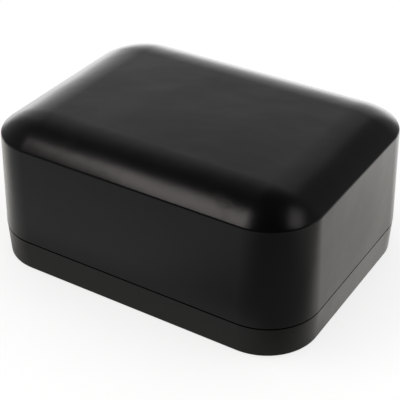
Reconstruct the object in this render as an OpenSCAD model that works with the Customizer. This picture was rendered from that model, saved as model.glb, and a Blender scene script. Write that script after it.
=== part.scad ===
// Plastic project box: a deep shell with a domed top stands on a shallow base cover,
// and four screws hold the two together from below.

/* [Overall size] */
// Length of the case at the parting line, along X
case_l = 100; // [84:1:160]
// Width of the case at the parting line, along Y
case_w = 76; // [62:1:120]
// Height from the underside to the flat of the top
case_h = 44; // [36:1:70]
// Height of the parting line above the underside
seam_h = 9.5; // [8.5:0.5:14]
// Corner radius in plan at the parting line
corner_r = 16; // [14:0.5:20]

/* [Shell] */
// Radius of the arc that rounds the top down to the walls
dome_r = 25; // [21:0.5:40]
// Thickness of the side walls
wall_t = 2.4; // [2:0.1:3]
// Thickness of the domed top
top_t = 2.5; // [1.6:0.1:4]
// Draft of the shell's walls, narrowing upwards, in degrees
shell_draft = 1.7; // [0.5:0.1:3]

/* [Base cover] */
// Thickness of the floor
floor_t = 2.4; // [1.6:0.1:3.5]
// Draft of the base's walls, narrowing downwards, in degrees
base_draft = 2.8; // [0.5:0.1:5]
// How far the base stands back from the shell at the parting line
base_step = 0.05; // [0:0.05:0.6]
// Height of the locating lip above the parting line
lip_h = 2.5; // [1.5:0.1:4]
// Thickness of the locating lip
lip_t = 1.05; // [0.8:0.05:1.3]
// Bevel along the bottom edge
foot_bevel = 0.2; // [0.1:0.1:0.8]

/* [Screws] */
// Outer diameter of the shell's screw bosses
boss_d = 7.5; // [6.5:0.1:8.5]
// How far each boss sinks into the corner wall
boss_sink = 0.5; // [0.3:0.1:0.8]
// Depth of the bored hole in each boss
bore_depth = 11; // [10:0.5:16]
// Diameter across the screw's thread
thread_d = 2.9; // [2.5:0.1:3.2]
// Length of the screw under its head
screw_l = 12; // [9:0.5:13]
// Diameter of the screw head
head_d = 5.4; // [4.8:0.1:5.8]
// Height of the screw head
head_h = 2.1; // [1.6:0.1:2.4]
// Plastic left under each screw head
seat_t = 2.6; // [2:0.1:3.4]
// Outer diameter of the base's screw sleeves
sleeve_d = 8.8; // [8.2:0.1:9.4]

/* [Board posts] */
// Distance between board posts along X
post_pitch_x = 60; // [30:1:62]
// Distance between board posts along Y
post_pitch_y = 40; // [20:1:42]
// Diameter of each board post
post_d = 6; // [5:0.5:7]
// Height of each board post above the floor
post_h = 5; // [3:0.5:6]
// Pilot hole in each board post
post_hole_d = 2.4; // [1.8:0.1:2.8]

/* [Hidden] */
$fn = 80;
lip_gap = 0.15;       // between the lip and the shell's rebate, sideways
lip_top_gap = 0.3;    // between the lip's crest and the rebate's end
boss_gap = 0.2;       // between a boss and the sleeve under it
boss_clear = 0.4;     // between a boss and the break in the lip
thread_gap = 0.05;    // round the thread in its bore
shank_gap = 0.2;      // round the thread in the base's clearance hole
head_gap = 0.5;       // round the head in its recess
rim_bevel = 0.2;      // on the outer edges either side of the parting line
lip_bevel = 0.3;      // lead-in on the lip's crest
post_floor = 1.2;     // plastic left under a post's pilot hole
over = 1;             // how far a cutter runs past what it cuts

centre_x = case_l / 2 - corner_r;    // corner centres in plan
centre_y = case_w / 2 - corner_r;
inner_r = corner_r - wall_t;         // inner corner radius at the parting line
dome_z = case_h - dome_r;            // height of the dome arc's centre
base_r = corner_r - base_step;       // base's corner radius at the parting line
rebate_r = inner_r + lip_t + lip_gap;
boss_off = (inner_r - boss_d / 2 + boss_sink) / sqrt(2);
screw_x = centre_x + boss_off;
screw_y = centre_y + boss_off;
sleeve_top = seam_h - boss_gap;
seat_z = sleeve_top - seat_t;        // where the screw heads bear
bore_r = thread_d / 2 + thread_gap;

function drift(z, draft) = (z - seam_h) * tan(draft);

// Carries a half profile, drawn outwards from a corner centre, round the case's plan.
// The four corners turn it and the four sides stretch it straight.
module round_the_case() {
    for (k = [0 : 3]) {
        along_x = k % 2 == 0;
        reach = along_x ? centre_x : centre_y;
        run = along_x ? centre_y : centre_x;
        rotate([0, 0, 90 * k]) {
            translate([reach, run, 0]) rotate_extrude(angle = 90) children();
            translate([reach, 0, 0]) rotate([90, 0, 0])
                linear_extrude(height = 2 * run, center = true) children();
        }
    }
}

// The block between the corner centres, from z0 to z1
module core(z0, z1) {
    translate([-centre_x, -centre_y, z0]) cube([2 * centre_x, 2 * centre_y, z1 - z0]);
}

module at_screws() {
    for (sx = [-1, 1], sy = [-1, 1])
        translate([sx * screw_x, sy * screw_y, 0]) children();
}

module at_posts() {
    for (sx = [-1, 1], sy = [-1, 1])
        translate([sx * post_pitch_x / 2, sy * post_pitch_y / 2, 0]) children();
}

// Half profile of the shell's outside: a drafted wall under the dome's arc, with a
// crisp edge where they meet
module shell_outline() {
    intersection() {
        polygon([
            [0, seam_h],
            [corner_r - rim_bevel, seam_h],
            [corner_r - drift(seam_h + rim_bevel, shell_draft), seam_h + rim_bevel],
            [corner_r - drift(case_h + over, shell_draft), case_h + over],
            [0, case_h + over]
        ]);
        translate([0, dome_z]) circle(r = dome_r);
    }
}

// The same form one wall further in, open below
module shell_hollow() {
    intersection() {
        polygon([
            [0, seam_h - over],
            [inner_r - drift(seam_h - over, shell_draft), seam_h - over],
            [inner_r - drift(case_h, shell_draft), case_h],
            [0, case_h]
        ]);
        translate([0, dome_z]) circle(r = dome_r - top_t);
    }
}

module boss_columns() {
    at_screws() translate([0, 0, seam_h]) cylinder(d = boss_d, h = case_h);
}

module upper_shell() {
    color("#1c1c1e")
    difference() {
        union() {
            round_the_case() shell_outline();
            core(seam_h, case_h);
        }
        difference() {
            union() {
                round_the_case() shell_hollow();
                core(seam_h - over, case_h - top_t);
                round_the_case()
                    translate([0, seam_h - over]) square([rebate_r, over + lip_h + lip_top_gap]);
            }
            boss_columns();
        }
        at_screws() translate([0, 0, seam_h - over]) cylinder(r = bore_r, h = bore_depth + over);
    }
}

// Half profile of the base's outside: a wall that narrows to a bevelled bottom edge
module base_outline() {
    foot_r = base_r + drift(0, base_draft);
    polygon([
        [0, 0],
        [foot_r - foot_bevel, 0],
        [base_r + drift(foot_bevel, base_draft), foot_bevel],
        [base_r + drift(seam_h - rim_bevel, base_draft), seam_h - rim_bevel],
        [base_r - rim_bevel, seam_h],
        [inner_r + lip_t, seam_h],
        [inner_r + lip_t, seam_h + lip_h - lip_bevel],
        [inner_r + lip_t - lip_bevel, seam_h + lip_h],
        [0, seam_h + lip_h]
    ]);
}

module base_hollow() {
    top = seam_h + lip_h + over;
    polygon([
        [0, floor_t],
        [inner_r + drift(floor_t, base_draft), floor_t],
        [inner_r, seam_h],
        [inner_r, top],
        [0, top]
    ]);
}

module sleeves() {
    at_screws() cylinder(d = sleeve_d, h = sleeve_top);
}

module screw_holes() {
    at_screws() {
        translate([0, 0, -over]) cylinder(d = head_d + 2 * head_gap, h = seat_z + over);
        cylinder(d = thread_d + 2 * shank_gap, h = seam_h);
        translate([0, 0, sleeve_top]) cylinder(d = boss_d + 2 * boss_clear, h = lip_h + over);
    }
}

module board_post() {
    difference() {
        translate([0, 0, floor_t - over / 2]) cylinder(d = post_d, h = post_h + over / 2);
        translate([0, 0, post_floor]) cylinder(d = post_hole_d, h = floor_t + post_h);
    }
}

module base_cover() {
    color("#202022")
    union() {
        difference() {
            union() {
                round_the_case() base_outline();
                core(0, seam_h + lip_h);
            }
            difference() {
                union() {
                    round_the_case() base_hollow();
                    core(floor_t, seam_h + lip_h + over);
                }
                sleeves();
            }
            screw_holes();
            at_posts() translate([0, 0, post_floor]) cylinder(d = post_hole_d, h = floor_t);
        }
        at_posts() board_post();
    }
}

// One self-tapping screw, head down: a crowned head, a shank and a cone point
module screw() {
    crown = head_h / 2;
    crown_r = (pow(head_d / 2, 2) + crown * crown) / (2 * crown);
    slot_w = head_d / 6;
    slot_l = head_d * 0.55;
    slot_depth = head_h * 0.6;
    difference() {
        union() {
            rotate_extrude() intersection() {
                translate([0, -head_h]) square([head_d / 2, head_h]);
                translate([0, crown_r - head_h]) circle(r = crown_r);
            }
            cylinder(d = thread_d, h = screw_l - thread_d);
            translate([0, 0, screw_l - thread_d]) cylinder(d1 = thread_d, d2 = thread_d / 5, h = thread_d);
        }
        for (turn = [0, 90])
            rotate([0, 0, turn]) translate([-slot_l / 2, -slot_w / 2, -head_h - over])
                cube([slot_l, slot_w, slot_depth + over]);
    }
}

module case_screws() {
    color("#8d9096")
    at_screws() translate([0, 0, seat_z]) screw();
}

upper_shell();
base_cover();
case_screws();
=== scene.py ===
"""Dresses the plastic project box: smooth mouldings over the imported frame, screws and a studio."""

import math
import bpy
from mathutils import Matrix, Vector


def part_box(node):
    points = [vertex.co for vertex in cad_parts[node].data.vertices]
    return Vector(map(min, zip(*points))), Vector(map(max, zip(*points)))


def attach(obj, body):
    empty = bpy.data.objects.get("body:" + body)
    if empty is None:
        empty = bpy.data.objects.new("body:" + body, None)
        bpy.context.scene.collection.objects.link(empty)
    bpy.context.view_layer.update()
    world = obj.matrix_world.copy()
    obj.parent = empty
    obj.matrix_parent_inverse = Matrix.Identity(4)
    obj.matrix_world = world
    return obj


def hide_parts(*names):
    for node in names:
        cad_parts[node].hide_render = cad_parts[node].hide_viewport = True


bl_info = {
    "name": "Plastic project box",
    "version": (1, 0, 0),
    "blender": (4, 5, 0),
    "location": "3D Viewport > Sidebar > Project Box",
    "description": "Builds a domed black plastic box on a screwed base cover, with its studio",
    "category": "Object",
}

import bmesh
import bpy
from bpy.props import FloatProperty, FloatVectorProperty, PointerProperty
from mathutils import Matrix, Vector

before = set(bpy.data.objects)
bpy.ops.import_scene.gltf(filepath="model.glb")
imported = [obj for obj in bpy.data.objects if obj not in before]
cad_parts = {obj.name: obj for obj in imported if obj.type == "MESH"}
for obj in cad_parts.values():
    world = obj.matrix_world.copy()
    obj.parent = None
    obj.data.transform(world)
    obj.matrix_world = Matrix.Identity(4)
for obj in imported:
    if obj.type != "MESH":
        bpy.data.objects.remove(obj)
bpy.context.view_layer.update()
SHELL_LOW, SHELL_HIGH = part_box("upper_shell")
_, SCREWS_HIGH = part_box("case_screws")

UP = Vector((0, 0, 1))
MERGE = 1e-6             # metres between points that are one point

# Faces along each curve
CORNER_STEPS = 32        # round each corner of the plan
ROUND_STEPS = 32         # round a hole, sleeve or screw
DOME_STEPS = 28          # up the dome
EDGE_STEPS = 5           # over the crisp edge
RIM_STEPS = 4            # over the shell's rim
BROW_STEPS = 3           # over the base's brow, just under the shadow gap
FOOT_STEPS = 5           # over the base's bottom edge
CROWN_STEPS = 6          # up a screw head's crown
THREAD_STEPS = 20        # in each turn of the thread

# Fits and fine sizes, in metres
LIP_GAP = 0.00015        # sideways, between the lip and the shell's rebate
LIP_HEADROOM = 0.0003    # between the lip's crest and the rebate's end
LIP_LEAD = 0.0003        # bevel on the lip's crest
BOSS_GAP = 0.0002        # between a boss and the sleeve under it
BOSS_CLEARANCE = 0.0004  # round a boss where it breaks into the lip
BORE_CLEARANCE = 0.00005  # round the thread in its bore
SHANK_CLEARANCE = 0.0002  # round the thread in the base's hole
PILOT_FLOOR = 0.0012     # plastic left under a post's pilot hole
PILOT_END = 0.02         # where the pilot holes' cutter ends, well over the posts
ROOT = 0.0005            # where sleeves and posts start, inside the floor
OVERSHOOT = 0.001        # how far a cutter runs past what it cuts
SLIVER = 0.00002         # keeps a cutter off a face that is already there
HEAD_BEVEL = 0.00015     # on the rim of a screw head

# Screws
CORE_SHARE = 0.36        # radius of the core over the thread's diameter
POINT_SHARE = 2.4        # length of the point over the core's radius
SLOT_FLOOR = (0.75, 0.22)  # length and width of the recess's slots at their floor, in head radii
SLOT_MOUTH = (1.15, 0.34)  # the same just outside the crown
SLOT_DEPTH = 0.0013      # from the crown's lowest point
SLOT_START = -0.0004     # just outside it
THREAD_PITCH = 0.0011
THREAD_START = 0.6       # pitches from the seat to the thread's first turn
THREAD_STOP = 3.2        # core radii from the thread's last turn to the tip
RIDGE_SINK = 0.9         # the ridge starts at this share of the core's radius, so that the two overlap
RIDGE_ROOT = 0.0003      # half the ridge's height where it meets the core
RIDGE_CREST = 0.00004    # half its height at the crest

# Finishes
BUMP_UNIT = 0.0001       # metres of height that 1 stands for in the plastic's skin
TURNING_UNIT = 0.00005   # the same in the zinc's turning marks
TURNING_STRENGTH = 0.1   # how much of their height shows
MARK_TONE = 1.7          # a handling mark's colour over the plastic's
DULL_TONE = 0.7          # dulled zinc's colour over bright zinc's
MOULDED_SHARP = 28.0     # degrees past which an edge of a moulding stays sharp
SCREW_SHARP = 35.0       # the same on a screw

# Studio: bearings run from +Y towards +X, in degrees, and elevations up from the floor
CAMERA_BEARING = 148.29
CAMERA_ELEVATION = 33.605
CAMERA_DISTANCE = 0.32715
CAMERA_AIM = Vector((0.00125, -0.00239, 0.01594))
CAMERA_LENS = 102.07     # millimetres, on a 36 mm sensor
SOFTBOX_CENTRE = Vector((0, 0, 0.03))  # the softboxes stand a metre from here
SOFTBOX_SPREAD = 50.0    # degrees over which a softbox shines
SURFACE_LIGHT = 0.62     # the surroundings' level as light on surfaces, and 1 to the eye
FLOOR_COLOUR = (0.5, 0.5, 0.5, 1.0)
FLOOR_LIFT = 0.68        # added to the floor to the eye, so that it is white outside the shadow
FLOOR_DROP = 0.0001      # how far the floor lies under the box
FLOOR_HALF = 4.0         # metres from its middle to its sides

# What the shell and base mirror, as (place, level): over the floor from near to far, and up the
# backdrop and the studio's other sides by the sine of the elevation. The floor's levels are painted
# light and shade on the floor, which only reflections see
FLOOR_NEAR = -0.14       # where the floor's levels start, in metres away from the box's middle
FLOOR_REACH = 0.4        # metres that they cover
FOOT_SHADOW_LEVEL = 0.33        # of the painted contact shadow on the floor along the front wall's foot, seen only in reflections
BEHIND_SHADE_LEVEL = 0.95      # of the painted shade on the floor close behind the box, seen only in reflections
PAINTED_FLOOR_LEVELS = (
    (0.0, 0.32), (0.125, 0.37), (0.225, 0.455), (0.2625, 0.51), (0.2875, 0.66), (0.30, 0.78),
    (0.325, 0.84), (0.35, 0.86), (0.405, 0.92), (0.45, 1.05), (0.505, 1.29), (0.6, 1.56), (1.0, 2.2),
)
BACKDROP_LEVELS = (
    (0.0, 1.55), (0.09, 1.30), (0.17, 1.1), (0.26, 0.83), (0.34, 0.70), (0.42, 0.595), (0.445, 0.58),
    (0.462, 0.49), (0.477, 0.37), (0.492, 0.335), (0.53, 0.335), (0.57, 0.34), (0.64, 0.31),
    (0.7, 0.18), (0.77, 0.09), (0.87, 0.022), (1.0, 0.02),
)
SIDE_LEVELS = (
    (0.0, 0.6), (0.09, 0.42), (0.17, 0.33), (0.34, 0.23), (0.5, 0.17), (0.7, 0.10), (0.82, 0.05),
    (0.9, 0.025), (1.0, 0.02),
)


def length(name, default, description):
    """A size in metres that a user may set."""
    return FloatProperty(
        name=name, description=description, default=default, min=0.0, unit="LENGTH", subtype="DISTANCE",
        precision=5,
    )


def angle(name, degrees, description):
    """An angle that a user may set, given here in degrees."""
    return FloatProperty(
        name=name, description=description, default=math.radians(degrees), unit="ROTATION",
        subtype="ANGLE",
    )


def share(name, default, description):
    """A plain number from 0 to 1 that a user may set."""
    return FloatProperty(
        name=name, description=description, default=default, min=0.0, max=1.0, subtype="FACTOR",
    )


def colour(name, default, description):
    """A linear colour that a user may set."""
    return FloatVectorProperty(
        name=name, description=description, default=default, size=3, min=0.0, max=1.0, subtype="COLOR",
    )


class BoxSizes(bpy.types.PropertyGroup):
    """Sizes of the mouldings and screws. Overall sizes come from the frame."""

    corner_radius: length("Corner radius", 0.016, "Radius of the corners in plan, at the parting line")
    dome_radius: length("Dome radius", 0.025, "Radius of the arc that rounds the top down to the walls")
    edge_round: length("Edge round", 0.0008, "Round left on the crisp edge between dome and wall")
    wall: length("Wall", 0.0024, "Thickness of the side walls")
    top: length("Top", 0.0025, "Thickness of the domed top")
    floor: length("Floor", 0.0024, "Thickness of the base's floor")
    shell_draft: angle("Shell draft", 1.7, "How the shell's walls lean in towards the top")
    base_draft: angle("Base draft", 2.8, "How the base's walls lean in towards the foot")
    base_step: length("Base step", 0.00005, "How far the base stands back from the shell")
    foot_round: length("Foot round", 0.0002, "Round along the base's bottom edge")
    rim_round: length("Rim round", 0.00012, "Round on the shell's outer edge at the parting line")
    brow_round: length("Brow round", 0.00004, "Round on the base's outer edge at the parting line")
    seam_gap: length("Seam gap", 0.00045, "Height of the shadow gap at the parting line")
    seam_depth: length("Seam depth", 0.0009, "Depth of the shadow gap at the parting line")
    lip_height: length("Lip height", 0.0025, "Height of the base's locating lip")
    lip_wall: length("Lip thickness", 0.00105, "Thickness of the base's locating lip")
    boss_diameter: length("Boss diameter", 0.0075, "Diameter of the screw bosses inside the shell")
    sleeve_diameter: length("Sleeve diameter", 0.0088, "Diameter of the base's screw sleeves")
    screw_inset: length("Screw inset", 0.00868, "From the case's sides in to each screw's axis")
    screw_seat: length("Screw seat", 0.0067, "Height of the face that each screw head bears on")
    thread_diameter: length("Thread diameter", 0.0029, "Diameter over the screw's thread")
    head_diameter: length("Head diameter", 0.0054, "Diameter of the screw head")
    head_height: length("Head height", 0.0021, "Height of the screw head")
    recess_diameter: length("Recess diameter", 0.0064, "Diameter of the hole round each screw head")
    bore_depth: length("Bore depth", 0.011, "Depth of the bore in each boss")
    post_pitch_x: length("Post pitch X", 0.060, "Distance between board posts along the case")
    post_pitch_y: length("Post pitch Y", 0.040, "Distance between board posts across the case")
    post_diameter: length("Post diameter", 0.006, "Diameter of each board post")
    post_height: length("Post height", 0.005, "Height of each board post over the floor")
    post_hole: length("Post hole", 0.0024, "Diameter of each board post's pilot hole")


class BoxFinish(bpy.types.PropertyGroup):
    """Colours and gloss of the plastic and the screws."""

    shell_colour: colour("Shell", (0.0012, 0.0012, 0.0012), "Colour of the shell's plastic")
    base_colour: colour("Base", (0.0028, 0.0025, 0.0017), "Colour of the base's plastic")
    shell_roughness: share("Shell roughness", 0.23, "Roughness of the shell's moulded skin")
    base_roughness: share("Base roughness", 0.28, "Roughness of the base's moulded skin")
    shell_grain: share("Shell grain", 0.018, "Height of the shell's grain, in tenths of a millimetre")
    base_grain: share("Base grain", 0.35, "Height of the base's grain, in tenths of a millimetre")
    shell_grain_size: length("Shell grain size", 0.00038, "Width of the shell's fine grain")
    base_grain_size: length("Base grain size", 0.0006, "Width of the base's fine grain")
    zinc_colour: colour("Zinc", (0.55, 0.56, 0.58), "Colour of the screws' plating")


class Wire:
    """A node's output. Each operator used on it adds the Math node that works it out."""

    def __init__(self, graph, socket):
        self.graph = graph
        self.socket = socket

    def _math(self, operation, *values):
        return self.graph.add("ShaderNodeMath", {"operation": operation}, dict(enumerate(values)))

    def __add__(self, other):
        return self._math("ADD", self, other)

    def __radd__(self, other):
        return self._math("ADD", other, self)

    def __sub__(self, other):
        return self._math("SUBTRACT", self, other)

    def __rsub__(self, other):
        return self._math("SUBTRACT", other, self)

    def __mul__(self, other):
        return self._math("MULTIPLY", self, other)

    def __rmul__(self, other):
        return self._math("MULTIPLY", other, self)

    def __truediv__(self, other):
        return self._math("DIVIDE", self, other)

    def __rtruediv__(self, other):
        return self._math("DIVIDE", other, self)

    def __pow__(self, other):
        return self._math("POWER", self, other)

    def __rpow__(self, other):
        return self._math("POWER", other, self)

    def ramp(self, low, high, to_low=0.0, to_high=1.0):
        """Carries low..high to to_low..to_high on a smooth step."""
        inputs = {0: self, 1: low, 2: high, 3: to_low, 4: to_high}
        return self.graph.add("ShaderNodeMapRange", {"interpolation_type": "SMOOTHSTEP"}, inputs)

    def between(self, low, full_low, full_high, high):
        """1 from full_low to full_high, and 0 past low and high."""
        return self.ramp(low, full_low) * self.ramp(full_high, high, 1.0, 0.0)

    def towards(self, other, mask):
        """This value where mask is 0, and the other where it is 1."""
        return self + (other - self) * mask


class Graph:
    """The node tree of one material or world."""

    def __init__(self, owner):
        owner.use_nodes = True
        self.tree = owner.node_tree
        self.tree.nodes.clear()

    def add(self, kind, settings=None, inputs=None, output=0):
        """Adds one node, sets it up, fills or links its sockets, and returns what output names."""
        node = self.tree.nodes.new(kind)
        for name, value in (settings or {}).items():
            if name == "stops":
                self._set_stops(node.color_ramp, value)
            else:
                setattr(node, name, value)
        for key, value in (inputs or {}).items():
            if isinstance(value, Wire):
                self.tree.links.new(value.socket, node.inputs[key])
            else:
                node.inputs[key].default_value = value
        if isinstance(output, tuple):
            return [Wire(self, node.outputs[name]) for name in output]
        return Wire(self, node.outputs[output]) if node.outputs else None

    @staticmethod
    def _set_stops(ramp, stops):
        while len(ramp.elements) < len(stops):
            ramp.elements.new(0.5)
        for element, (place, level) in zip(ramp.elements, stops):
            element.position = place
            element.color = (level, level, level, 1.0)

    def object_place(self):
        return self.add("ShaderNodeTexCoord", output="Object")

    def noise(self, place, scale, detail=2.0, roughness=0.5):
        """Noise in 0..1 with features about 1/scale metres across."""
        inputs = {"Vector": place, "Scale": scale, "Detail": detail, "Roughness": roughness}
        return self.add("ShaderNodeTexNoise", None, inputs, "Fac")

    def stretched(self, place, scale):
        return self.add("ShaderNodeMapping", None, {"Vector": place, "Scale": scale})

    def axes(self, place):
        """The three coordinates of a place or direction."""
        return self.add("ShaderNodeSeparateXYZ", None, {0: place}, ("X", "Y", "Z"))

    def rays(self):
        """Whether the camera, and whether a reflection, is looking."""
        return self.add("ShaderNodeLightPath", None, None, ("Is Camera Ray", "Is Glossy Ray"))

    def fade(self, value, stops):
        """A level read off (place, level) stops."""
        return self.add("ShaderNodeValToRGB", {"stops": stops}, {0: value})

    def tinted(self, level, tint):
        """A colour: one level shared out between red, green and blue."""
        return self.add("ShaderNodeVectorMath", {"operation": "MULTIPLY"}, {0: level, 1: tint})

    def blend(self, factor, low, high):
        """A colour between two colours, through a Mix node's colour sockets."""
        inputs = {0: factor, 6: (*low, 1.0), 7: (*high, 1.0)}
        return self.add("ShaderNodeMix", {"data_type": "RGBA"}, inputs, 2)

    def bump(self, height, distance, strength=1.0):
        """A normal: height 1 stands distance metres proud."""
        inputs = {"Strength": strength, "Distance": distance, "Height": height}
        return self.add("ShaderNodeBump", None, inputs)

    def surface(self, shader):
        self.add("ShaderNodeOutputMaterial", None, {"Surface": shader})


def moulded_plastic(name, tone, roughness, grain, grain_size):
    """Black ABS from a mould: a satin skin, slow waves, faint flow streaks and handling marks."""
    material = bpy.data.materials.new(name)
    graph = Graph(material)
    place = graph.object_place()
    skin = graph.noise(place, 1.0 / grain_size, 3.0)
    # Gloss drifts over 11 mm, the surface waves over 22 mm, and marks are up to 18 mm across.
    drift = graph.noise(place, 90.0, 2.0)
    wave = graph.noise(place, 45.0, 3.0, 0.42)
    smudge = graph.noise(place, 55.0, 4.0, 0.6).ramp(0.60, 0.78)
    # Flow streaks are 1 mm wide and run 25 mm up the walls.
    streaks = graph.noise(graph.stretched(place, (900.0, 900.0, 40.0)), 1.0, 2.0)
    lighter = tuple(part * MARK_TONE for part in tone)
    # Heights are in BUMP_UNITs.
    height = wave * 3.0 + skin * grain + streaks * 0.008
    inputs = {
        "Base Color": graph.blend(smudge, tone, lighter),
        "Roughness": roughness - 0.03 + skin * 0.03 + drift * 0.03 + smudge * 0.12,
        "IOR": 1.5,
        "Normal": graph.bump(height, BUMP_UNIT),
    }
    graph.surface(graph.add("ShaderNodeBsdfPrincipled", None, inputs))
    return material


def zinc_plate(tone):
    """Bright zinc plate with fine turning marks and a little dulling."""
    material = bpy.data.materials.new("zinc_plate")
    graph = Graph(material)
    place = graph.object_place()
    # Turning marks are 0.1 mm apart up the screw, and the dulling is 1 mm across.
    marks = graph.noise(graph.stretched(place, (400.0, 400.0, 9000.0)), 1.0, 3.0)
    bloom = graph.noise(place, 900.0, 3.0)
    darker = tuple(part * DULL_TONE for part in tone)
    inputs = {
        "Base Color": graph.blend(bloom.ramp(0.35, 0.7), darker, tone),
        "Metallic": 1.0,
        "Roughness": 0.24 + marks * 0.1 + bloom * 0.12,
        "Normal": graph.bump(marks, TURNING_UNIT, TURNING_STRENGTH),
    }
    graph.surface(graph.add("ShaderNodeBsdfPrincipled", None, inputs))
    return material


def arc(centre, radius, start, end, steps):
    """Points (outwards, upwards) along an arc, angles in degrees from the outward direction."""
    points = []
    for step in range(steps + 1):
        turn = math.radians(start + (end - start) * step / steps)
        points.append((centre[0] + radius * math.cos(turn), centre[1] + radius * math.sin(turn)))
    return points


def rod(radius, low, high):
    """Half profile of a plain round rod."""
    return [(0.0, low), (radius, low), (radius, high), (0.0, high)]


class Case:
    """The case's plan and the heights its pieces share, worked out from the frame and the sizes."""

    def __init__(self, sizes):
        self.sizes = sizes
        self.seam = SHELL_LOW.z
        self.top_z = SHELL_HIGH.z
        # The shell is widest over its rim's round, where the draft has already drawn it in a little.
        drawn_in = sizes.rim_round * math.tan(sizes.shell_draft)
        half_x = SHELL_HIGH.x + drawn_in
        half_y = SHELL_HIGH.y + drawn_in
        self.corner_x = half_x - sizes.corner_radius
        self.corner_y = half_y - sizes.corner_radius
        self.inner = sizes.corner_radius - sizes.wall
        self.dome_z = self.top_z - sizes.dome_radius
        self.screws = four(half_x - sizes.screw_inset, half_y - sizes.screw_inset)
        self.posts = four(sizes.post_pitch_x / 2, sizes.post_pitch_y / 2)

    def wall_and_dome(self, out_at_seam, dome_radius, edge_round, start_z):
        """Half profile from a wall's foot, up the drafted wall and over the dome to its flat."""
        draft = self.sizes.shell_draft
        slope = math.tan(draft)
        # The round's centre lies one edge_round inside both the wall's line and the dome's arc.
        reach = dome_radius - edge_round
        offset = out_at_seam - edge_round / math.cos(draft) - (self.dome_z - self.seam) * slope
        lean = 1 + slope * slope
        rise = (offset * slope + math.sqrt(reach * reach * lean - offset * offset)) / lean
        centre = (offset - rise * slope, self.dome_z + rise)
        tilt = math.degrees(math.atan2(centre[1] - self.dome_z, centre[0]))
        over = arc((0.0, self.dome_z), dome_radius, tilt, 90.0, DOME_STEPS)
        if edge_round > 0:
            over = arc(centre, edge_round, math.degrees(draft), tilt, EDGE_STEPS) + over[1:]
        return [(out_at_seam - (start_z - self.seam) * slope, start_z), *over]


def four(x, y):
    """Four places, one in each quarter of the plan."""
    return [Vector((side_x * x, side_y * y, 0)) for side_x in (-1, 1) for side_y in (-1, 1)]


def new_object(name, bm):
    """Makes an object from a bmesh, at the origin, with its place in its mesh."""
    mesh = bpy.data.meshes.new(name)
    bm.to_mesh(mesh)
    bm.free()
    made = bpy.data.objects.new(name, mesh)
    bpy.context.scene.collection.objects.link(made)
    return made


def swept_round(name, case, profile):
    """A closed solid from a half profile that starts and ends on the corner's axis.

    The four corners turn it and the four sides stretch it straight.
    """
    bm = bmesh.new()
    start = Vector((case.corner_x, -case.corner_y, 0))
    chain = [bm.verts.new(start + Vector((out, 0, up))) for out, up in profile]
    ends = [bm.edges.new(pair) for pair in zip(chain, chain[1:])]
    for quarter in range(4):
        along_y = quarter % 2 == 0
        run = 2 * (case.corner_y if along_y else case.corner_x)
        heading = Matrix.Rotation(math.radians(90 * quarter), 3, "Z") @ Vector((0, 1, 0))
        made = bmesh.ops.extrude_edge_only(bm, edges=ends)["geom"]
        verts = [item for item in made if isinstance(item, bmesh.types.BMVert)]
        bmesh.ops.translate(bm, verts=verts, vec=heading * run)
        ends = [item for item in made if isinstance(item, bmesh.types.BMEdge) and item.is_boundary
                and all(vert in verts for vert in item.verts)]
        start = start + heading * run
        made = bmesh.ops.spin(
            bm, geom=ends, cent=start, axis=UP, angle=math.radians(90), steps=CORNER_STEPS,
            use_merge=False,
        )["geom_last"]
        ends = [item for item in made if isinstance(item, bmesh.types.BMEdge)]
    bmesh.ops.remove_doubles(bm, verts=bm.verts, dist=MERGE)
    # Only the two flats between the corners' axes are still open.
    bmesh.ops.holes_fill(bm, edges=bm.edges, sides=4)
    bmesh.ops.recalc_face_normals(bm, faces=bm.faces)
    return new_object(name, bm)


def turned(profile):
    """A closed solid of revolution about Z from a half profile that starts and ends on the axis."""
    bm = bmesh.new()
    chain = [bm.verts.new((out, 0, up)) for out, up in profile]
    edges = [bm.edges.new(pair) for pair in zip(chain, chain[1:])]
    bmesh.ops.spin(
        bm, geom=edges, cent=(0, 0, 0), axis=UP, angle=math.tau, steps=ROUND_STEPS, use_merge=True,
    )
    bmesh.ops.remove_doubles(bm, verts=bm.verts, dist=MERGE)
    bmesh.ops.recalc_face_normals(bm, faces=bm.faces)
    return bm


def copies(name, bm, places):
    """An object that repeats a bmesh's shape at each place."""
    first = bm.verts[:]
    original = first + bm.edges[:] + bm.faces[:]
    for place in places[1:]:
        made = bmesh.ops.duplicate(bm, geom=original)["geom"]
        verts = [item for item in made if isinstance(item, bmesh.types.BMVert)]
        bmesh.ops.translate(bm, verts=verts, vec=place)
    bmesh.ops.translate(bm, verts=first, vec=places[0])
    return new_object(name, bm)


def open_edges(mesh):
    """How many of a mesh's edges don't lie between exactly two faces."""
    bm = bmesh.new()
    bm.from_mesh(mesh)
    count = sum(1 for edge in bm.edges if not edge.is_manifold)
    bm.free()
    return count


def carve(target, tool):
    """Cuts tool out of target, both closed solids, and drops the tool."""
    for solid in (target, tool):
        count = open_edges(solid.data)
        if count:
            raise RuntimeError(f"{solid.name} isn't closed: {count} open edges")
    modifier = target.modifiers.new("carve", "BOOLEAN")
    modifier.operation = "DIFFERENCE"
    modifier.solver = "EXACT"
    modifier.object = tool
    depsgraph = bpy.context.evaluated_depsgraph_get()
    mesh = bpy.data.meshes.new_from_object(target.evaluated_get(depsgraph))
    target.modifiers.clear()
    old, target.data = target.data, mesh
    bpy.data.meshes.remove(old)
    bpy.data.objects.remove(tool)
    target.data.name = target.name
    bm = bmesh.new()
    bm.from_mesh(mesh)
    bmesh.ops.remove_doubles(bm, verts=bm.verts, dist=MERGE)
    bm.to_mesh(mesh)
    bm.free()


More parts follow.
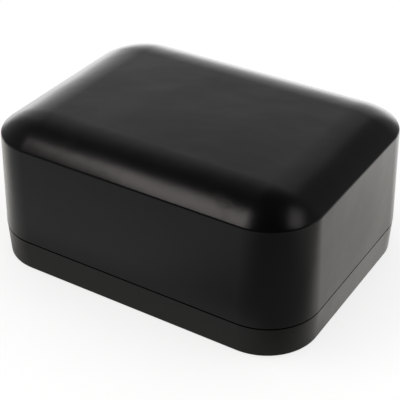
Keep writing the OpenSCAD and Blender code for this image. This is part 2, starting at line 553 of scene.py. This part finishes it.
def finish_piece(piece, material, sharp=MOULDED_SHARP):
    """Smooth shading with true flats, a material and its body."""
    mesh = piece.data
    mesh.materials.clear()
    mesh.materials.append(material)
    mesh.polygons.foreach_set("use_smooth", [True] * len(mesh.polygons))
    mesh.set_sharp_from_angle(angle=math.radians(sharp))
    weighted = piece.modifiers.new("flats stay flat", "WEIGHTED_NORMAL")
    weighted.mode = "FACE_AREA"
    weighted.weight = 50
    weighted.keep_sharp = True
    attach(piece, "root")


class BOX_OT_shell(bpy.types.Operator):
    """Mould the upper shell: drafted walls, domed top, rebated rim and screw bosses"""

    bl_idname = "box.shell"
    bl_label = "Upper Shell"

    def execute(self, context):
        sizes = context.scene.box_sizes
        case = Case(sizes)
        outside = sizes.corner_radius
        rim = sizes.rim_round
        outer = [(0.0, case.seam)]
        outer += arc((outside - rim, case.seam + rim), rim, -90.0, 0.0, RIM_STEPS)
        outer += case.wall_and_dome(outside, sizes.dome_radius, sizes.edge_round, case.seam + rim * 2)
        shell = swept_round("shell_moulding", case, outer)

        below = case.seam - OVERSHOOT
        rebate = case.inner + sizes.lip_wall + LIP_GAP
        rebate_end = case.seam + sizes.lip_height + LIP_HEADROOM
        hollow = [(0.0, below), (rebate, below), (rebate, rebate_end)]
        hollow += case.wall_and_dome(case.inner, sizes.dome_radius - sizes.top, 0.0, rebate_end)
        room = swept_round("room", case, hollow)
        boss = rod(sizes.boss_diameter / 2, case.seam, case.top_z + OVERSHOOT)
        carve(room, copies("bosses", turned(boss), case.screws))
        carve(shell, room)

        radius = sizes.thread_diameter / 2 + BORE_CLEARANCE
        bore_end = case.seam + sizes.bore_depth
        bore = [(0.0, below), (radius, below), (radius, bore_end - radius), (0.0, bore_end)]
        carve(shell, copies("bores", turned(bore), case.screws))

        finish = context.scene.box_finish
        skin = moulded_plastic(
            "shell_skin", finish.shell_colour, finish.shell_roughness, finish.shell_grain,
            finish.shell_grain_size,
        )
        finish_piece(shell, skin)
        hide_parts("upper_shell")
        return {"FINISHED"}


class BOX_OT_base(bpy.types.Operator):
    """Mould the base cover: floor, low walls, locating lip, screw sleeves and board posts"""

    bl_idname = "box.base"
    bl_label = "Base Cover"

    def execute(self, context):
        sizes = context.scene.box_sizes
        case = Case(sizes)
        slope = math.tan(sizes.base_draft)
        foot, brow = sizes.foot_round, sizes.brow_round
        outside = sizes.corner_radius - sizes.base_step
        foot_out = outside - (case.seam - foot) * slope
        brow_out = outside - brow - (sizes.seam_gap + brow) * slope
        brow_top = case.seam - sizes.seam_gap
        gap_out = outside - sizes.seam_depth
        lip_out = case.inner + sizes.lip_wall
        lip_top = case.seam + sizes.lip_height
        outer = [(0.0, 0.0)]
        outer += arc((foot_out - foot, foot), foot, -90.0, 0.0, FOOT_STEPS)
        outer += arc((brow_out, brow_top - brow), brow, 0.0, 90.0, BROW_STEPS)
        outer += [
            (gap_out, brow_top), (gap_out, case.seam), (lip_out, case.seam),
            (lip_out, lip_top - LIP_LEAD), (lip_out - LIP_LEAD, lip_top), (0.0, lip_top),
        ]
        base = swept_round("base_moulding", case, outer)

        above = lip_top + OVERSHOOT
        hollow = [
            (0.0, sizes.floor), (case.inner - (case.seam - sizes.floor) * slope, sizes.floor),
            (case.inner, case.seam), (case.inner, above), (0.0, above),
        ]
        room = swept_round("room", case, hollow)
        sleeve_top = case.seam - BOSS_GAP
        sleeve = rod(sizes.sleeve_diameter / 2, ROOT, sleeve_top)
        carve(room, copies("sleeves", turned(sleeve), case.screws))
        post = rod(sizes.post_diameter / 2, ROOT, sizes.floor + sizes.post_height)
        carve(room, copies("posts", turned(post), case.posts))
        carve(base, room)

        recess = sizes.recess_diameter / 2
        clear = sizes.thread_diameter / 2 + SHANK_CLEARANCE
        breach = sizes.boss_diameter / 2 + BOSS_CLEARANCE
        breach_start = sleeve_top + SLIVER
        hole = [
            (0.0, -OVERSHOOT), (recess, -OVERSHOOT), (recess, sizes.screw_seat),
            (clear, sizes.screw_seat), (clear, breach_start), (breach, breach_start),
            (breach, above), (0.0, above),
        ]
        carve(base, copies("screw_holes", turned(hole), case.screws))
        pilot = rod(sizes.post_hole / 2, PILOT_FLOOR, PILOT_END)
        carve(base, copies("pilots", turned(pilot), case.posts))

        finish = context.scene.box_finish
        skin = moulded_plastic(
            "base_skin", finish.base_colour, finish.base_roughness, finish.base_grain,
            finish.base_grain_size,
        )
        finish_piece(base, skin)
        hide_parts("base_cover")
        return {"FINISHED"}


def cut_cross_recess(screw, crown_z, head):
    """Cuts two tapered slots into a screw head of radius head, one after the other."""
    for turn in (0, 90):
        bm = bmesh.new()
        wing = bmesh.ops.create_cube(bm, size=1.0)["verts"]
        for vert in wing:
            deep = vert.co.z > 0
            long, wide = SLOT_FLOOR if deep else SLOT_MOUTH
            vert.co.x *= head * long
            vert.co.y *= head * wide
            vert.co.z = crown_z + (SLOT_DEPTH if deep else SLOT_START)
        about_z = Matrix.Rotation(math.radians(turn), 3, "Z")
        bmesh.ops.rotate(bm, verts=wing, cent=(0, 0, 0), matrix=about_z)
        carve(screw, new_object("driver", bm))


def thread_ridge(core, crest, start, end):
    """A ridge turned round the core and raised one pitch each turn."""
    bm = bmesh.new()
    root = core * RIDGE_SINK
    corners = [(root, -RIDGE_ROOT), (crest, -RIDGE_CREST), (crest, RIDGE_CREST), (root, RIDGE_ROOT)]
    face = bm.faces.new([bm.verts.new((out, 0, start + up)) for out, up in corners])
    steps = int((end - start) / THREAD_PITCH * THREAD_STEPS)
    bmesh.ops.spin(
        bm, geom=[face, *face.edges, *face.verts], cent=(0, 0, 0), axis=UP,
        dvec=(0, 0, THREAD_PITCH / THREAD_STEPS), angle=math.tau * steps / THREAD_STEPS, steps=steps,
        use_merge=False,
    )
    bmesh.ops.recalc_face_normals(bm, faces=bm.faces)
    return new_object("thread", bm)


class BOX_OT_screws(bpy.types.Operator):
    """Turn the four self-tapping screws: crowned heads, cross recesses and threads"""

    bl_idname = "box.screws"
    bl_label = "Case Screws"

    def execute(self, context):
        sizes = context.scene.box_sizes
        case = Case(sizes)
        seat = sizes.screw_seat
        crown_z = seat - sizes.head_height
        tip = SCREWS_HIGH.z
        core = sizes.thread_diameter * CORE_SHARE
        head, crown = sizes.head_diameter / 2, sizes.head_height / 2
        bulge = (head * head + crown * crown) / (2 * crown)
        spread = math.degrees(math.asin(head / bulge))
        shape = arc((0.0, crown_z + bulge), bulge, -90.0, -90.0 + spread, CROWN_STEPS)
        shape += [
            (head, seat - HEAD_BEVEL), (head - HEAD_BEVEL, seat), (core, seat),
            (core, tip - core * POINT_SHARE), (0.0, tip),
        ]
        screw = new_object("screw", turned(shape))
        cut_cross_recess(screw, crown_z, head)
        start, end = seat + THREAD_PITCH * THREAD_START, tip - core * THREAD_STOP
        thread = thread_ridge(core, sizes.thread_diameter / 2, start, end)
        bm = bmesh.new()
        bm.from_mesh(screw.data)
        bm.from_mesh(thread.data)
        bpy.data.objects.remove(thread)
        bpy.data.objects.remove(screw)
        screws = copies("screws", bm, case.screws)
        plating = zinc_plate(context.scene.box_finish.zinc_colour)
        finish_piece(screws, plating, SCREW_SHARP)
        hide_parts("case_screws")
        return {"FINISHED"}


def studio_floor():
    """White floor: even white to the eye with the box's shadow on it, and to reflections a glow of
    painted light and shade.
    """
    material = bpy.data.materials.new("studio_floor")
    graph = Graph(material)
    x, y, _ = graph.axes(graph.object_place())
    away = y * 0.99 - x * 0.15
    # A painted pool of light: the floor's level in reflections rises from the front to the back.
    painted_light_pool = graph.fade((away - FLOOR_NEAR) / FLOOR_REACH, PAINTED_FLOOR_LEVELS)
    # Painted shade: in front of the box the floor's level in reflections dips to a dark patch.
    # Elsewhere painted light makes its left end brighter and painted shade makes its right end darker.
    near = away.ramp(-0.048, -0.019, 1.0, 0.0)
    aside = x * 0.851 + y * 0.525 - 0.030
    painted_front_shade = (aside * aside).ramp(0.0004, 0.0056, 0.40, 1.0)
    painted_left_light = x.ramp(-0.075, -0.045, 0.35, 0.0) * y.ramp(0.015, 0.040, 1.0, 0.0)
    ends = (1.0 + painted_left_light) * (x - y * 0.5).ramp(0.063, 0.088, 1.0, 0.40)
    open_floor = painted_light_pool * ends.towards(painted_front_shade, near)
    # A painted contact shadow along the front wall's foot and painted shade close behind the box are at
    # levels of their own.
    foot = y.between(-0.058, -0.050, 0.0, 0.03) * x.between(-0.058, -0.040, 0.036, 0.052)
    painted_shade_behind = x.between(-0.080, -0.060, 0.020, 0.045) * y.between(0.045, 0.060, 0.095, 0.125)
    seen = open_floor.towards(FOOT_SHADOW_LEVEL, foot).towards(BEHIND_SHADE_LEVEL, painted_shade_behind)
    # The painted reflection is a little warm, but for the nearest and the farthest of it.
    warmth = graph.blend(near + away.ramp(0.05, 0.09), (1.03, 1.005, 0.965), (1.0, 1.0, 1.0))
    eye, gloss = graph.rays()
    white = graph.add("ShaderNodeBsdfDiffuse", None, {"Color": FLOOR_COLOUR})
    lift = graph.add("ShaderNodeEmission", None, {"Color": eye * FLOOR_LIFT})
    lit = graph.add("ShaderNodeAddShader", None, {0: white, 1: lift})
    mirrored = graph.add("ShaderNodeEmission", None, {"Color": graph.tinted(seen, warmth)})
    graph.surface(graph.add("ShaderNodeMixShader", None, {0: gloss, 1: lit, 2: mirrored}))
    return material


def studio_world(world):
    """White to the eye, plain light for surfaces, and a bright backdrop fading upwards in gloss."""
    graph = Graph(world)
    x, y, z = graph.axes(graph.add("ShaderNodeTexCoord", output="Generated"))
    level = (x * x + y * y) ** 0.5 + 0.001    # how level the direction is, and never zero
    # The backdrop stands opposite the camera, and the other sides are darkest behind the camera.
    backdrop = ((y * 0.862 - x * 0.507) / level).ramp(0.845, 0.900)
    behind_camera = ((x * 0.525 - y * 0.851) / level).ramp(0.0, 0.5, 1.0, 0.25)
    sides = behind_camera * graph.fade(z, SIDE_LEVELS)
    # Low down, its middle is a little brighter than its edges. Higher up, its middle is darker.
    low_lean = ((y * 0.809 - x * 0.588) / level).ramp(0.955, 0.998, 0.95, 1.03)
    high_lean = ((y * 0.866 - x * 0.5) / level).ramp(0.985, 0.9995, 1.22, 0.97)
    lean = low_lean.towards(high_lean, z.ramp(0.43, 0.50))
    seen = sides.towards(graph.fade(z, BACKDROP_LEVELS) * lean, backdrop)
    eye, gloss = graph.rays()
    plain = SURFACE_LIGHT + eye * (1.0 - SURFACE_LIGHT)
    sky = graph.add("ShaderNodeBackground", None, {"Color": plain.towards(seen, gloss)})
    graph.add("ShaderNodeOutputWorld", None, {"Surface": sky})


def direction(bearing, elevation):
    """Unit vector from a bearing and an elevation in degrees."""
    turn, rise = math.radians(bearing), math.radians(elevation)
    return Vector((math.sin(turn) * math.cos(rise), math.cos(turn) * math.cos(rise), math.sin(rise)))


def softbox(name, place, size, brightest, power, tint):
    """An area light. place is where it stands and brightest where it looks brightest from the box."""
    data = bpy.data.lights.new(name, "AREA")
    data.shape = "RECTANGLE"
    data.size, data.size_y = size
    data.spread = math.radians(SOFTBOX_SPREAD)
    data.energy = power
    data.color = tint
    lamp = bpy.data.objects.new(name, data)
    bpy.context.scene.collection.objects.link(lamp)
    lamp.location = direction(*place) + SOFTBOX_CENTRE
    lamp.rotation_euler = direction(*brightest).to_track_quat("Z", "Y").to_euler()


class BOX_OT_studio(bpy.types.Operator):
    """Set the floor, the white surroundings, two softboxes and the camera"""

    bl_idname = "box.studio"
    bl_label = "Studio"

    def execute(self, context):
        scene = context.scene
        scene.view_settings.view_transform = "Standard"
        bm = bmesh.new()
        bmesh.ops.create_grid(bm, x_segments=1, y_segments=1, size=FLOOR_HALF)
        bmesh.ops.translate(bm, verts=bm.verts, vec=(0, 0, -FLOOR_DROP))
        floor = new_object("studio_floor", bm)
        floor.data.materials.append(studio_floor())
        world = bpy.data.worlds.new("studio_surroundings")
        scene.world = world
        studio_world(world)
        softbox(
            "key_softbox", place=(-124.0, 61.8), size=(0.47, 0.26), brightest=(-108.5, 53.5),
            power=0.107, tint=(1.0, 0.915, 0.905),
        )
        softbox(
            "back_softbox", place=(55.0, 60.2), size=(0.49, 0.26), brightest=(57.0, 60.2),
            power=0.0314, tint=(1.0, 0.94, 0.93),
        )
        back = direction(CAMERA_BEARING, CAMERA_ELEVATION)
        data = bpy.data.cameras.new("camera")
        data.sensor_width = 36.0
        data.lens = CAMERA_LENS
        camera = bpy.data.objects.new("camera", data)
        scene.collection.objects.link(camera)
        camera.location = CAMERA_AIM + back * CAMERA_DISTANCE
        camera.rotation_euler = back.to_track_quat("Z", "Y").to_euler()
        scene.camera = camera
        return {"FINISHED"}


class BOX_PT_panel(bpy.types.Panel):
    """Lists the box's pieces, sizes and finishes"""

    bl_label = "Plastic project box"
    bl_idname = "BOX_PT_panel"
    bl_space_type = "VIEW_3D"
    bl_region_type = "UI"
    bl_category = "Project Box"

    def draw(self, context):
        layout = self.layout
        for operator in OPERATORS:
            layout.operator(operator.bl_idname)
        for group in (context.scene.box_sizes, context.scene.box_finish):
            column = layout.column(align=True)
            for name in group.bl_rna.properties.keys():
                if name not in ("rna_type", "name"):
                    column.prop(group, name)


OPERATORS = (BOX_OT_shell, BOX_OT_base, BOX_OT_screws, BOX_OT_studio)
CLASSES = (BoxSizes, BoxFinish, *OPERATORS, BOX_PT_panel)


def register():
    for cls in CLASSES:
        bpy.utils.register_class(cls)
    bpy.types.Scene.box_sizes = PointerProperty(type=BoxSizes)
    bpy.types.Scene.box_finish = PointerProperty(type=BoxFinish)


def unregister():
    del bpy.types.Scene.box_finish
    del bpy.types.Scene.box_sizes
    for cls in reversed(CLASSES):
        bpy.utils.unregister_class(cls)


def main():
    register()
    bpy.ops.box.shell()
    bpy.ops.box.base()
    bpy.ops.box.screws()
    bpy.ops.box.studio()


if __name__ == "__main__":
    main()
